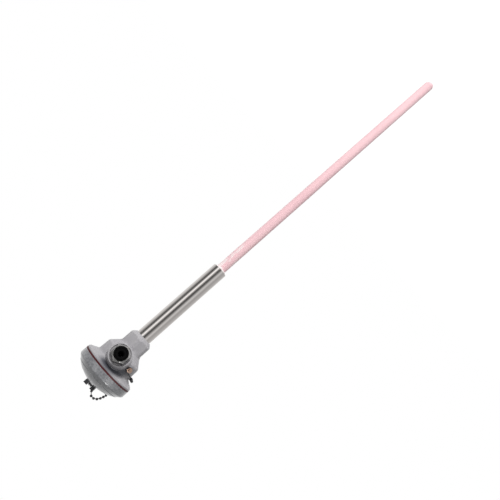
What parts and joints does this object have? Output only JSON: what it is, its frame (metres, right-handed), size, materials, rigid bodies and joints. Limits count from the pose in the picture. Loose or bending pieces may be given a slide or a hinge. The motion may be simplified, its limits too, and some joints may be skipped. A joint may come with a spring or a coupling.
{
  "type": "platinum-rhodium thermocouple",
  "caption": "High-temperature sensor probe: corundum tube in a steel sleeve, with a sealed connection head, screw cover, bead chain and cable gland.",
  "frame": {"origin": "centre of the neck's lower end face, on the probe's axis, at the top of the steel sleeve", "axes": "+Z along the probe's axis from the tip up to the cover; -Y is the gland's side; -X is the earth screw's side"},
  "size_m": [0.0876, 0.0989, 0.7586],
  "materials": {
    "painted_casting": "light grey paint on die-cast aluminium",
    "cover_casting": "grey paint on a coarse casting",
    "silicone_red": "matt",
    "black_rubber": "matt",
    "polished_steel": "polished lengthwise",
    "plated_steel": "nickel plated",
    "dark_steel": "dull",
    "brass": "dull",
    "corundum_pink": "smooth fired",
    "alumina_white": "fired",
    "cement": "matt",
    "fibre": "woven glass or ceramic fibre",
    "glazed_ceramic": "glazed",
    "platinum": "drawn wire"
  },
  "bodies": {
    "head": {"head_body": "painted_casting", "cover_gasket": "silicone_red", "cover_chain": "plated_steel", "chain_anchor_link": "dark_steel", "earth_screw": "brass", "earth_washers": "brass", "gland_washer": "plated_steel", "gland_seal": "black_rubber", "steel_sleeve": "polished_steel", "protection_tube": "corundum_pink", "mouth_cement": "cement", "tube_packing": "fibre", "twin_bore_insulators": "alumina_white", "wire_positive": "platinum", "wire_negative": "platinum", "measuring_junction": "platinum", "lead_sleeves": "fibre", "terminal_block": "glazed_ceramic", "terminal_positive": "brass", "terminal_negative": "brass", "clamp_screws": "plated_steel", "terminal_fixing_screws": "plated_steel", "block_screws": "plated_steel"},
    "swivel": {"swivel_block": "dark_steel", "chain_stirrup": "dark_steel"},
    "cover": {"head_cover": "cover_casting", "swivel_screw": "plated_steel"},
    "bush": {"gland_bush": "black_rubber"},
    "nut": {"gland_nut": "plated_steel"}
  },
  "joints": [
    {"name": "cover_lift", "type": "slide", "parent": "head", "child": "swivel", "axis": [0, 0, 1], "range_m": [0, 0.0106], "deforming": ["cover_chain"]},
    {"name": "cover_turn", "type": "hinge", "parent": "swivel", "child": "cover", "pos_m": [0, 0, 0.0666], "axis": [0, 0, 1], "range_deg": [0, 1260]},
    {"name": "gland_travel", "type": "slide", "parent": "head", "child": "bush", "axis": [0, -0.9659, -0.2588], "range_m": [0, 0.0061]},
    {"name": "gland_turn", "type": "hinge", "parent": "bush", "child": "nut", "pos_m": [0, -0.04265, 0.03757], "axis": [0, -0.9659, -0.2588], "range_deg": [0, 1440]}
  ],
  "couplings": [
    {"joint": "cover_lift", "follows": "cover_turn", "m_per_rad": 0.00047746},
    {"joint": "gland_travel", "follows": "gland_turn", "m_per_rad": 0.00023873}
  ]
}
